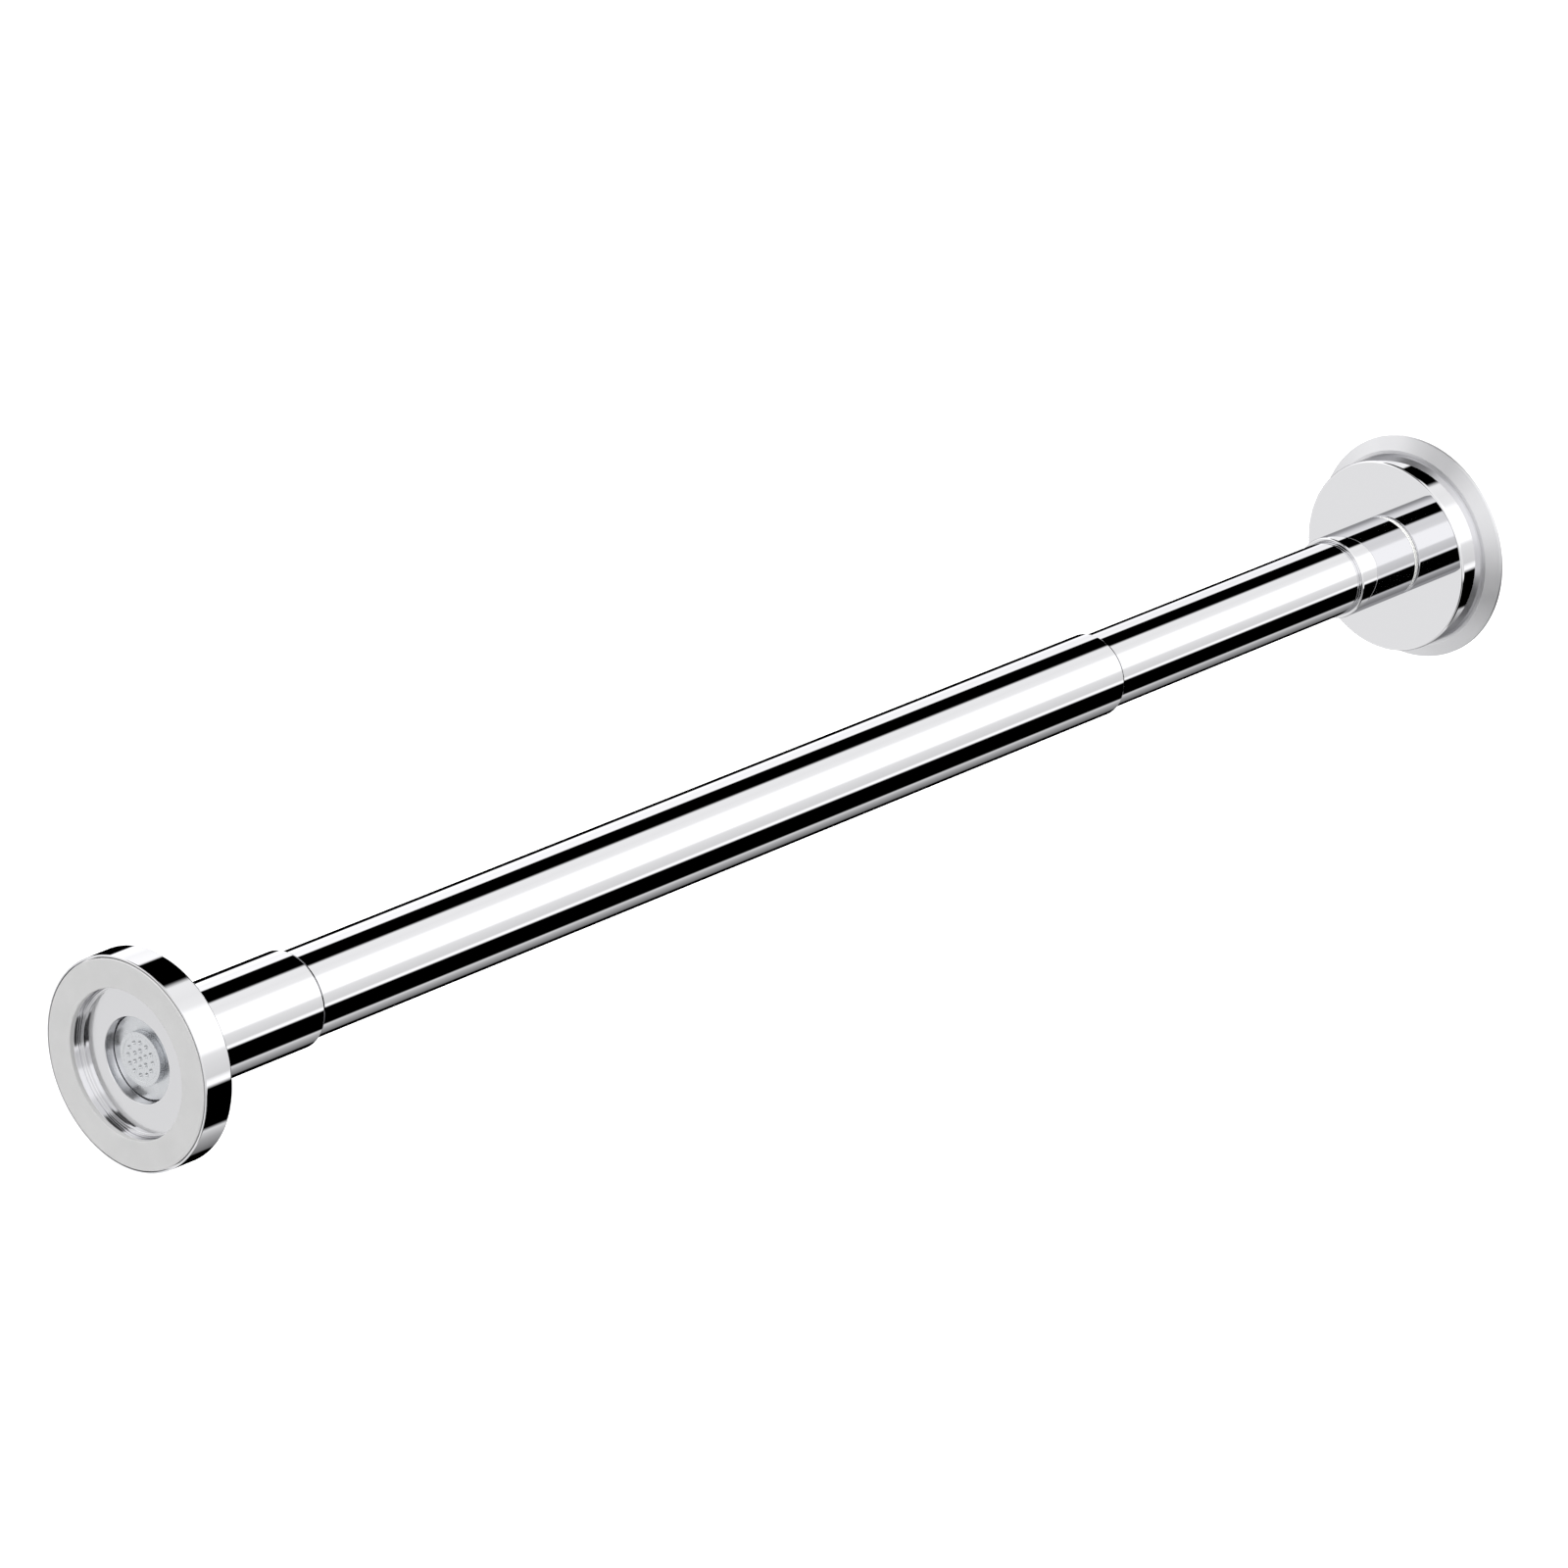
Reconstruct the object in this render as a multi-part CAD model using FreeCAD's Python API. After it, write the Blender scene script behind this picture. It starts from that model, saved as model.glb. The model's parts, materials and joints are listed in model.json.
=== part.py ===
import FreeCAD, Part
import math
import os

from FreeCAD import Vector

# Telescopic pressure bar for a window opening. Millimetres, +Z up.
# The bar lies along +X and its axis is the X axis. X = 0 is the left wall, X = BAR_LENGTH the right wall.

# Bar
BAR_LENGTH = 550.0           # wall to wall, as set
OUTER_TUBE_R = 12.5
OUTER_TUBE_WALL = 0.7
OUTER_TUBE_LENGTH = 359.0
TUBE_GAP = 0.3               # radial, between the two tubes
INNER_TUBE_WALL = 1.0
INNER_TUBE_LENGTH = 321.0

# Fits
RUN_CLEARANCE = 0.06         # radial, between a shaft and the bore it turns or slides in
FREE_GAP = 0.3               # between parts that move past each other and carry nothing
THRUST_GAP = 0.1             # axial, at a thrust face
HOLE_CLEARANCE = 0.2         # radial, round a screw
EDGE = 0.4                   # chamfer on outer edges
OVERRUN = 1.0                # cutters run this far past the face they open
TAP_RELIEF = 1.0             # a tapped hole is this much deeper than its screw

# Feet
FOOT_R = 30.0
FOOT_DEPTH = 10.0

# Left foot
GRIP_THICKNESS = 1.5
GRIP_STAND_OUT = 0.3         # the grip stands this far out of the cup
GRIP_LIP_WALL = 0.5
RECESS_R = 21.0
LEFT_WEB = 3.5
HUB_DISC_THICKNESS = 2.2
HUB_RIM_WIDTH = 0.8
HUB_RIM_HEIGHT = 0.9
HUB_BORE_R = 12.0
WASHER_SEAT_WALL = 1.8
FOOT_WASHER_THICKNESS = 0.8
FOOT_SCREW_R = 4.0
FOOT_SCREW_HEAD_R = 7.5
FOOT_SCREW_HEAD = 2.0
FOOT_SCREW_GRIP = 10.0       # thread inside the stem
DIMPLE_R = 0.7
DIMPLE_DEPTH = 0.35
DIMPLE_RINGS = ((0.0, 1), (2.3, 6), (4.6, 12))   # pitch radius and count

# Jack stem and left collar
STEM_R = 6.0
STEM_SHOULDER_WIDTH = 2.5
STEM_SHOULDER = 3.0
STEM_LENGTH = 40.0
STEM_TIP_CHAMFER = 1.0
LEFT_COLLAR_WALL = 1.24      # over the outer tube
LEFT_COLLAR_LENGTH = 50.7
NUT_WALL = 5.0
NUT_INSET = 4.0
NUT_LENGTH = 20.0
GRUB_R = 1.5
GRUB_SOCKET_R = 0.8
GRUB_SOCKET_DEPTH = 0.8
GRUB_FLUSH = 0.25            # the grub screw lies this far under the surface
GRUB_ANGLE = -45.0           # about X, from +Y towards +Z: low, at the back

# Outer tube's left end
THRUST_WASHER_THICKNESS = 1.0
PLUG_LIP_THICKNESS = 1.5
PLUG_LENGTH = 20.0
STEM_GAP = 0.6               # radial, where the stem passes through without bearing
PLUG_PIN_R = 1.2
PLUG_PIN_INSET = 10.0        # from the tube's end
PLUG_PIN_STANDOFF = 1.0      # radial, from the plug's bore to the pin
PLUG_PIN_ANGLES = (0.0, 180.0)

# Outer tube's mouth
MOUTH_LINER_LENGTH = 14.0

# Right foot
CUP_WEB = 3.2
CUP_CAVITY_R = 18.0
BASE_PLATE_R = 35.0
BASE_PLATE_THICKNESS = 3.5
BASE_PLATE_RIM = 1.0
BASE_STEP_R = 31.0           # where the sloped edge begins
BASE_BOSS_R = 12.0
GRIP_PAD_R = 34.0
GRIP_PAD_THICKNESS = 1.2
SPIGOT_R = 8.0
SPIGOT_FLANGE_WIDTH = 6.0
SPIGOT_FLANGE = 3.0
SPIGOT_SCREW_R = 3.0
SPIGOT_SCREW_HEAD_R = 6.0
SPIGOT_SCREW_LENGTH = 22.0
BASE_SCREW_R = 2.0
BASE_SCREW_HEAD_R = 4.0
BASE_SCREW_LENGTH = 9.5
BASE_SCREW_PITCH_R = 24.0
BASE_SCREW_COUNT = 3
HEAD_SUNK = 0.2              # a countersunk head lies this far under the face

# Right collar and the bearing inside it
RIGHT_COLLAR_WALL = 1.15     # over the inner tube
RIGHT_COLLAR_LENGTH = 26.0
RIGHT_WASHER_THICKNESS = 0.7
TUBE_SETBACK = 1.0           # the inner tube ends this far inside the collar
BUSH_LENGTH = 21.0
CIRCLIP_THICKNESS = 1.0
CIRCLIP_GROOVE_DEPTH = 0.8
CIRCLIP_STAND_OUT = 1.6
CIRCLIP_OPENING = 60.0       # degrees
SPIGOT_TIP = 2.0             # beyond the circlip

# Twist lock at the inner tube's left end
PIVOT_PLUG_LENGTH = 20.0
PIVOT_LIP_THICKNESS = 3.0
CROSS_PIN_R = 1.5
CROSS_PIN_INSET = 10.0
CAM_OFFSET = 0.8             # from the bar's axis to the pivot pin's
CAM_TURN = 75.0              # degrees, from free to locked
CAM_LOCK_GAP = 0.12          # left at the bore when locked
CAM_LENGTH = 17.0
CAM_PIN_R = 4.0
CAM_RING_DEPTH = 1.2
CAM_RING_WIDTH = 5.0
CAM_WASHER_WIDTH = 4.0       # beyond the pin
CAM_WASHER_THICKNESS = 1.0
CAM_SCREW_R = 2.0
CAM_SCREW_HEAD_R = 3.8
CAM_SCREW_HEAD = 2.5
CAM_SCREW_GRIP = 12.0

# Places along the bar
LEFT_WEB_X = FOOT_DEPTH - LEFT_WEB
WASHER_SEAT_X = FOOT_DEPTH - WASHER_SEAT_WALL
STEM_END_X = FOOT_DEPTH + STEM_LENGTH
LEFT_COLLAR_X = FOOT_DEPTH + FREE_GAP
LEFT_COLLAR_END_X = LEFT_COLLAR_X + LEFT_COLLAR_LENGTH
NUT_X = LEFT_COLLAR_X + NUT_INSET
NUT_END_X = NUT_X + NUT_LENGTH
LEFT_GRUB_X = (NUT_X + NUT_END_X) / 2
THRUST_WASHER_X = NUT_END_X + THRUST_GAP
PLUG_LIP_X = THRUST_WASHER_X + THRUST_WASHER_THICKNESS
OUTER_TUBE_X = PLUG_LIP_X + PLUG_LIP_THICKNESS
MOUTH_X = OUTER_TUBE_X + OUTER_TUBE_LENGTH
PAD_X = BAR_LENGTH - GRIP_PAD_THICKNESS
BASE_X = PAD_X - BASE_PLATE_THICKNESS
CUP_X = BASE_X - FOOT_DEPTH
CAVITY_X = CUP_X + CUP_WEB
SPIGOT_END_X = CAVITY_X + SPIGOT_FLANGE
RIGHT_WASHER_X = CUP_X - RIGHT_WASHER_THICKNESS
RIGHT_COLLAR_END_X = RIGHT_WASHER_X - THRUST_GAP
RIGHT_COLLAR_X = RIGHT_COLLAR_END_X - RIGHT_COLLAR_LENGTH
RIGHT_GRUB_X = (RIGHT_COLLAR_X + RIGHT_COLLAR_END_X) / 2
INNER_TUBE_END_X = RIGHT_COLLAR_END_X - TUBE_SETBACK
INNER_TUBE_X = INNER_TUBE_END_X - INNER_TUBE_LENGTH
BUSH_X = INNER_TUBE_END_X - BUSH_LENGTH
CIRCLIP_END_X = BUSH_X - THRUST_GAP
CIRCLIP_X = CIRCLIP_END_X - CIRCLIP_THICKNESS
PIVOT_LIP_X = INNER_TUBE_X - PIVOT_LIP_THICKNESS
CAM_END_X = PIVOT_LIP_X - THRUST_GAP
CAM_X = CAM_END_X - CAM_LENGTH
CAM_GROOVE_X = (CAM_X + CAM_END_X - CAM_RING_WIDTH) / 2
CAM_GROOVE_END_X = CAM_GROOVE_X + CAM_RING_WIDTH
CAM_WASHER_END_X = CAM_X - THRUST_GAP
CAM_WASHER_X = CAM_WASHER_END_X - CAM_WASHER_THICKNESS

# Radii that follow from the sizes above
OUTER_BORE_R = OUTER_TUBE_R - OUTER_TUBE_WALL
INNER_TUBE_R = OUTER_BORE_R - TUBE_GAP
INNER_BORE_R = INNER_TUBE_R - INNER_TUBE_WALL
LEFT_COLLAR_R = OUTER_TUBE_R + RUN_CLEARANCE + LEFT_COLLAR_WALL
RIGHT_COLLAR_R = INNER_TUBE_R + RIGHT_COLLAR_WALL
STEM_SHOULDER_R = STEM_R + STEM_SHOULDER_WIDTH
STEM_PASS_R = STEM_R + STEM_GAP
NUT_R = STEM_R + NUT_WALL
NUT_SEAT_R = STEM_R + NUT_WALL / 2
SPIGOT_FLANGE_R = SPIGOT_R + SPIGOT_FLANGE_WIDTH
CIRCLIP_GROOVE_R = SPIGOT_R - CIRCLIP_GROOVE_DEPTH
CIRCLIP_R = SPIGOT_R + CIRCLIP_STAND_OUT
CAM_WASHER_R = CAM_PIN_R + CAM_WASHER_WIDTH
CAM_RISE = 2 * CAM_OFFSET * math.sin(math.radians(CAM_TURN / 2))
CAM_R = OUTER_BORE_R - CAM_RISE - CAM_LOCK_GAP
CAM_GROOVE_R = CAM_R - CAM_RING_DEPTH
PIVOT_LIP_R = OUTER_BORE_R - FREE_GAP

X_AXIS = Vector(1, 0, 0)


def turned(outline, centre_z=0.0):
    """A solid of revolution about a line along X; the outline is (x, radius) points in order."""
    points = [Vector(x, 0, centre_z + r) for x, r in outline]
    face = Part.Face(Part.makePolygon(points + points[:1]))
    return face.revolve(Vector(0, 0, centre_z), X_AXIS, 360)


def rod(x0, x1, r, centre_z=0.0):
    """A plain cylinder along X."""
    return Part.makeCylinder(r, x1 - x0, Vector(x0, 0, centre_z), X_AXIS)


def ring(x0, x1, r_in, r_out):
    """A plain ring along X."""
    return turned([(x0, r_in), (x0, r_out), (x1, r_out), (x1, r_in)])


def radial(x, r0, r1, radius, angle=0.0):
    """A cylinder that points away from the bar's axis; angle is about X, from +Y towards +Z."""
    direction = Vector(0, math.cos(math.radians(angle)), math.sin(math.radians(angle)))
    return Part.makeCylinder(radius, r1 - r0, Vector(x, 0, 0) + direction * r0, direction)


def around(x, pitch_r, count):
    """Points on a circle about the bar's axis, the first straight up."""
    turns = [math.radians(90 + 360 * i / count) for i in range(count)]
    return [Vector(x, pitch_r * math.cos(t), pitch_r * math.sin(t)) for t in turns]


def screw_head_sink(x_face, r_head, r_shank):
    """The cone of a 90 degree countersunk head whose wide end is at x_face."""
    return turned([(x_face - (r_head - r_shank), 0), (x_face - (r_head - r_shank), r_shank),
                   (x_face, r_head), (x_face, 0)])


# Left foot


def left_flange():
    """Cup open to the wall: lip round the grip, recess, web, and a counterbore for the washer."""
    return turned([
        (GRIP_STAND_OUT, FOOT_R - GRIP_LIP_WALL), (GRIP_STAND_OUT, FOOT_R - GRIP_LIP_WALL / 2),
        (GRIP_STAND_OUT + GRIP_LIP_WALL / 2, FOOT_R), (FOOT_DEPTH - EDGE, FOOT_R),
        (FOOT_DEPTH, FOOT_R - EDGE), (FOOT_DEPTH, FOOT_SCREW_R + HOLE_CLEARANCE),
        (WASHER_SEAT_X, FOOT_SCREW_R + HOLE_CLEARANCE), (WASHER_SEAT_X, HUB_BORE_R),
        (LEFT_WEB_X, HUB_BORE_R), (LEFT_WEB_X, RECESS_R), (GRIP_THICKNESS, RECESS_R),
        (GRIP_THICKNESS, FOOT_R - GRIP_LIP_WALL),
    ])


def left_grip_ring():
    return ring(0, GRIP_THICKNESS, RECESS_R, FOOT_R - GRIP_LIP_WALL)


def left_hub_disc():
    """Floor of the recess, with a low rim against the recess wall."""
    face_x = LEFT_WEB_X - HUB_DISC_THICKNESS
    rim_x = face_x - HUB_RIM_HEIGHT
    return turned([
        (face_x, HUB_BORE_R), (face_x, RECESS_R - HUB_RIM_WIDTH), (rim_x, RECESS_R - HUB_RIM_WIDTH),
        (rim_x, RECESS_R), (LEFT_WEB_X, RECESS_R), (LEFT_WEB_X, HUB_BORE_R),
    ])


def left_foot_washer():
    return ring(WASHER_SEAT_X - FOOT_WASHER_THICKNESS, WASHER_SEAT_X,
                FOOT_SCREW_R + HOLE_CLEARANCE, HUB_BORE_R - HOLE_CLEARANCE)


def left_foot_screw():
    """Wide low head with rings of dimples, and a shank into the stem."""
    seat_x = WASHER_SEAT_X - FOOT_WASHER_THICKNESS
    top_x = seat_x - FOOT_SCREW_HEAD
    screw = turned([
        (top_x, 0), (top_x, FOOT_SCREW_HEAD_R - EDGE), (top_x + EDGE, FOOT_SCREW_HEAD_R),
        (seat_x, FOOT_SCREW_HEAD_R), (seat_x, FOOT_SCREW_R),
        (FOOT_DEPTH + FOOT_SCREW_GRIP, FOOT_SCREW_R), (FOOT_DEPTH + FOOT_SCREW_GRIP, 0),
    ])
    for pitch_r, count in DIMPLE_RINGS:
        for point in around(top_x + DIMPLE_DEPTH - DIMPLE_R, pitch_r, count):
            screw = screw.cut(Part.makeSphere(DIMPLE_R, point))
    return screw


def jack_stem():
    """Shouldered stem with a tapped hole for the foot screw."""
    hole_end_x = FOOT_DEPTH + FOOT_SCREW_GRIP + TAP_RELIEF
    shoulder_x = FOOT_DEPTH + STEM_SHOULDER
    return turned([
        (FOOT_DEPTH, FOOT_SCREW_R), (FOOT_DEPTH, STEM_SHOULDER_R), (shoulder_x, STEM_SHOULDER_R),
        (shoulder_x, STEM_R), (STEM_END_X - STEM_TIP_CHAMFER, STEM_R),
        (STEM_END_X, STEM_R - STEM_TIP_CHAMFER), (STEM_END_X, 0), (hole_end_x, 0),
        (hole_end_x, FOOT_SCREW_R),
    ])


# Left collar


def grub_hole(x, r_in, r_out):
    return radial(x, r_in, r_out + OVERRUN, GRUB_R, GRUB_ANGLE)


def grub_socket(x, r_floor, r_out):
    return radial(x, r_floor, r_out + OVERRUN, GRUB_SOCKET_R, GRUB_ANGLE)


def left_collar():
    """Sleeve over the nut and the outer tube's end, stepped inside."""
    sleeve = turned([
        (LEFT_COLLAR_X, NUT_R), (LEFT_COLLAR_X, LEFT_COLLAR_R - EDGE),
        (LEFT_COLLAR_X + EDGE, LEFT_COLLAR_R), (LEFT_COLLAR_END_X - EDGE, LEFT_COLLAR_R),
        (LEFT_COLLAR_END_X, LEFT_COLLAR_R - EDGE), (LEFT_COLLAR_END_X, OUTER_TUBE_R + RUN_CLEARANCE),
        (NUT_END_X, OUTER_TUBE_R + RUN_CLEARANCE), (NUT_END_X, NUT_R),
    ])
    return sleeve.cut(grub_hole(LEFT_GRUB_X, 0, LEFT_COLLAR_R))


def collar_nut():
    """Nut pressed into the collar, with a flat-bottomed seat for the grub screw."""
    nut = ring(NUT_X, NUT_END_X, STEM_R + RUN_CLEARANCE, NUT_R)
    return nut.cut(grub_hole(LEFT_GRUB_X, NUT_SEAT_R, NUT_R))


def collar_grub_screw():
    """Headless screw with a driving socket, just under the collar's surface."""
    top_r = LEFT_COLLAR_R - GRUB_FLUSH
    screw = radial(LEFT_GRUB_X, NUT_SEAT_R, top_r, GRUB_R, GRUB_ANGLE)
    return screw.cut(grub_socket(LEFT_GRUB_X, top_r - GRUB_SOCKET_DEPTH, top_r))


# Outer tube


def plug_pin_rod(r_in, angle):
    return radial(OUTER_TUBE_X + PLUG_PIN_INSET, r_in, OUTER_TUBE_R + OVERRUN, PLUG_PIN_R, angle)


def outer_tube():
    """Plain tube, chamfered at its mouth and drilled for the plug's pins."""
    tube = turned([
        (OUTER_TUBE_X, OUTER_BORE_R), (OUTER_TUBE_X, OUTER_TUBE_R),
        (MOUTH_X - OUTER_TUBE_WALL / 2, OUTER_TUBE_R), (MOUTH_X, OUTER_TUBE_R - OUTER_TUBE_WALL / 2),
        (MOUTH_X, OUTER_BORE_R),
    ])
    for angle in PLUG_PIN_ANGLES:
        tube = tube.cut(plug_pin_rod(0, angle))
    return tube


def left_end_plug():
    """Plug in the tube's end: lip, body, and a bore that the stem passes through."""
    end_x = OUTER_TUBE_X + PLUG_LENGTH
    plug = turned([
        (PLUG_LIP_X, STEM_PASS_R), (PLUG_LIP_X, OUTER_TUBE_R), (OUTER_TUBE_X, OUTER_TUBE_R),
        (OUTER_TUBE_X, OUTER_BORE_R), (end_x, OUTER_BORE_R), (end_x, STEM_PASS_R),
    ])
    for angle in PLUG_PIN_ANGLES:
        plug = plug.cut(plug_pin_rod(0, angle))
    return plug


def plug_pin(angle):
    """Round pin through the tube's wall into the plug, clear of the stem and under the surface."""
    pin = plug_pin_rod(STEM_PASS_R + PLUG_PIN_STANDOFF, angle)
    return pin.common(rod(OUTER_TUBE_X, MOUTH_X, OUTER_TUBE_R - RUN_CLEARANCE))


def thrust_washer():
    return ring(THRUST_WASHER_X, PLUG_LIP_X, STEM_PASS_R, OUTER_TUBE_R)


def mouth_liner():
    return ring(MOUTH_X - MOUTH_LINER_LENGTH, MOUTH_X, INNER_TUBE_R + RUN_CLEARANCE, OUTER_BORE_R)


# Inner tube


def cross_pin_hole():
    reach = INNER_TUBE_R + OVERRUN
    return radial(INNER_TUBE_X + CROSS_PIN_INSET, -reach, reach, CROSS_PIN_R)


def inner_tube():
    tube = ring(INNER_TUBE_X, INNER_TUBE_END_X, INNER_BORE_R, INNER_TUBE_R)
    return tube.cut(cross_pin_hole())


def right_collar():
    """Sleeve that finishes the inner tube at the right foot."""
    sleeve = turned([
        (RIGHT_COLLAR_X, INNER_TUBE_R), (RIGHT_COLLAR_X, RIGHT_COLLAR_R - EDGE),
        (RIGHT_COLLAR_X + EDGE, RIGHT_COLLAR_R), (RIGHT_COLLAR_END_X - EDGE, RIGHT_COLLAR_R),
        (RIGHT_COLLAR_END_X, RIGHT_COLLAR_R - EDGE), (RIGHT_COLLAR_END_X, INNER_TUBE_R),
    ])
    return sleeve.cut(grub_hole(RIGHT_GRUB_X, 0, RIGHT_COLLAR_R))


def right_collar_screw():
    """Short grub screw whose foot follows the tube's surface."""
    top_r = RIGHT_COLLAR_R - GRUB_FLUSH
    screw = radial(RIGHT_GRUB_X, INNER_BORE_R, top_r, GRUB_R, GRUB_ANGLE)
    screw = screw.cut(rod(RIGHT_COLLAR_X, RIGHT_COLLAR_END_X, INNER_TUBE_R))
    return screw.cut(grub_socket(RIGHT_GRUB_X, INNER_TUBE_R + RIGHT_COLLAR_WALL / 2, top_r))


def right_bearing_bush():
    return ring(BUSH_X, INNER_TUBE_END_X, SPIGOT_R + RUN_CLEARANCE, INNER_BORE_R)


def lock_pivot_plug():
    """Plug in the tube's end with a lip and an off-centre pin for the cam."""
    plug = turned([
        (PIVOT_LIP_X, 0), (PIVOT_LIP_X, PIVOT_LIP_R), (INNER_TUBE_X, PIVOT_LIP_R),
        (INNER_TUBE_X, INNER_BORE_R), (INNER_TUBE_X + PIVOT_PLUG_LENGTH, INNER_BORE_R),
        (INNER_TUBE_X + PIVOT_PLUG_LENGTH, 0),
    ])
    plug = plug.fuse(rod(CAM_WASHER_END_X, PIVOT_LIP_X, CAM_PIN_R, CAM_OFFSET))
    tapped = rod(CAM_WASHER_END_X, CAM_WASHER_END_X + CAM_SCREW_GRIP, CAM_SCREW_R, CAM_OFFSET)
    return plug.cut(tapped).cut(cross_pin_hole())


def pivot_cross_pin():
    """Pin through both tube walls and the plug, under the tube's surface."""
    return cross_pin_hole().common(rod(INNER_TUBE_X, INNER_TUBE_END_X, INNER_TUBE_R - RUN_CLEARANCE))


def cam_washer():
    hole = rod(CAM_WASHER_X, CAM_WASHER_END_X, CAM_SCREW_R + HOLE_CLEARANCE, CAM_OFFSET)
    return rod(CAM_WASHER_X, CAM_WASHER_END_X, CAM_WASHER_R, CAM_OFFSET).cut(hole)


def cam_screw():
    head_x = CAM_WASHER_X - CAM_SCREW_HEAD
    return turned([
        (head_x, 0), (head_x, CAM_SCREW_HEAD_R), (CAM_WASHER_X, CAM_SCREW_HEAD_R),
        (CAM_WASHER_X, CAM_SCREW_R), (CAM_WASHER_END_X + CAM_SCREW_GRIP, CAM_SCREW_R),
        (CAM_WASHER_END_X + CAM_SCREW_GRIP, 0),
    ], CAM_OFFSET)


# Lock cam


def lock_cam():
    """Round cam, bored off centre by CAM_OFFSET, with a groove for its friction ring."""
    cam = turned([
        (CAM_X, 0), (CAM_X, CAM_R), (CAM_GROOVE_X, CAM_R), (CAM_GROOVE_X, CAM_GROOVE_R),
        (CAM_GROOVE_END_X, CAM_GROOVE_R), (CAM_GROOVE_END_X, CAM_R), (CAM_END_X, CAM_R), (CAM_END_X, 0),
    ])
    return cam.cut(rod(CAM_X, CAM_END_X, CAM_PIN_R + RUN_CLEARANCE, CAM_OFFSET))


def cam_ring():
    return ring(CAM_GROOVE_X, CAM_GROOVE_END_X, CAM_GROOVE_R, CAM_R)


# Right foot


def right_flange():
    """Cup with a plain disc towards the bar and a cavity towards the wall."""
    cup = turned([
        (CUP_X, SPIGOT_R), (CUP_X, FOOT_R - EDGE), (CUP_X + EDGE, FOOT_R), (BASE_X, FOOT_R),
        (BASE_X, CUP_CAVITY_R), (CAVITY_X, CUP_CAVITY_R), (CAVITY_X, SPIGOT_R),
    ])
    tip_x = PAD_X - HEAD_SUNK - BASE_SCREW_LENGTH
    for point in around(tip_x, BASE_SCREW_PITCH_R, BASE_SCREW_COUNT):
        cup = cup.cut(Part.makeCylinder(BASE_SCREW_R, BASE_SCREW_LENGTH, point, X_AXIS))
    return cup


def right_base_plate():
    """Plate with a sloped edge, a boss that clamps the spigot, and countersunk holes."""
    plate = turned([
        (SPIGOT_END_X, 0), (SPIGOT_END_X, BASE_BOSS_R), (BASE_X, BASE_BOSS_R), (BASE_X, BASE_STEP_R),
        (PAD_X - BASE_PLATE_RIM, BASE_PLATE_R), (PAD_X, BASE_PLATE_R), (PAD_X, 0),
    ])
    plate = plate.cut(rod(SPIGOT_END_X, PAD_X, SPIGOT_SCREW_R))
    plate = plate.cut(screw_head_sink(PAD_X, SPIGOT_SCREW_HEAD_R + HEAD_SUNK, SPIGOT_SCREW_R))
    for point in around(0, BASE_SCREW_PITCH_R, BASE_SCREW_COUNT):
        hole = rod(BASE_X, PAD_X, BASE_SCREW_R)
        hole.translate(point)
        plate = plate.cut(hole)
        sink = screw_head_sink(PAD_X, BASE_SCREW_HEAD_R + HEAD_SUNK, BASE_SCREW_R)
        sink.translate(point)
        plate = plate.cut(sink)
    return plate


def right_grip_pad():
    return ring(PAD_X, BAR_LENGTH, 0, GRIP_PAD_R)


def right_spigot():
    """Flanged post that the inner tube turns on, grooved for the circlip and tapped at the wall end."""
    tip_x = CIRCLIP_X - SPIGOT_TIP
    hole_x = PAD_X - HEAD_SUNK - SPIGOT_SCREW_LENGTH - TAP_RELIEF
    return turned([
        (tip_x, 0), (tip_x, SPIGOT_R - EDGE), (tip_x + EDGE, SPIGOT_R), (CIRCLIP_X, SPIGOT_R),
        (CIRCLIP_X, CIRCLIP_GROOVE_R), (CIRCLIP_END_X, CIRCLIP_GROOVE_R), (CIRCLIP_END_X, SPIGOT_R),
        (CAVITY_X, SPIGOT_R), (CAVITY_X, SPIGOT_FLANGE_R), (SPIGOT_END_X, SPIGOT_FLANGE_R),
        (SPIGOT_END_X, SPIGOT_SCREW_R), (hole_x, SPIGOT_SCREW_R), (hole_x, 0),
    ])


def spigot_circlip():
    """Open ring in the spigot's groove."""
    clip = ring(CIRCLIP_X, CIRCLIP_END_X, CIRCLIP_GROOVE_R, CIRCLIP_R)
    reach = 2 * CIRCLIP_R
    half = reach * math.tan(math.radians(CIRCLIP_OPENING / 2))
    wedge = Part.makePolygon([
        Vector(CIRCLIP_X, 0, 0), Vector(CIRCLIP_X, -half, -reach), Vector(CIRCLIP_X, half, -reach),
        Vector(CIRCLIP_X, 0, 0),
    ])
    return clip.cut(Part.Face(wedge).extrude(Vector(CIRCLIP_THICKNESS, 0, 0)))


def right_thrust_washer():
    return ring(RIGHT_WASHER_X, CUP_X, SPIGOT_R + HOLE_CLEARANCE, RIGHT_COLLAR_R - EDGE)


def countersunk_screw(head_x, length, r_head, r_shank):
    return rod(head_x - length, head_x, r_shank).fuse(screw_head_sink(head_x, r_head, r_shank))


def spigot_screw():
    return countersunk_screw(PAD_X - HEAD_SUNK, SPIGOT_SCREW_LENGTH, SPIGOT_SCREW_HEAD_R, SPIGOT_SCREW_R)


def base_screws():
    screws = []
    for point in around(0, BASE_SCREW_PITCH_R, BASE_SCREW_COUNT):
        screw = countersunk_screw(PAD_X - HEAD_SUNK, BASE_SCREW_LENGTH, BASE_SCREW_HEAD_R, BASE_SCREW_R)
        screw.translate(point)
        screws.append(screw)
    return screws


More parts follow.
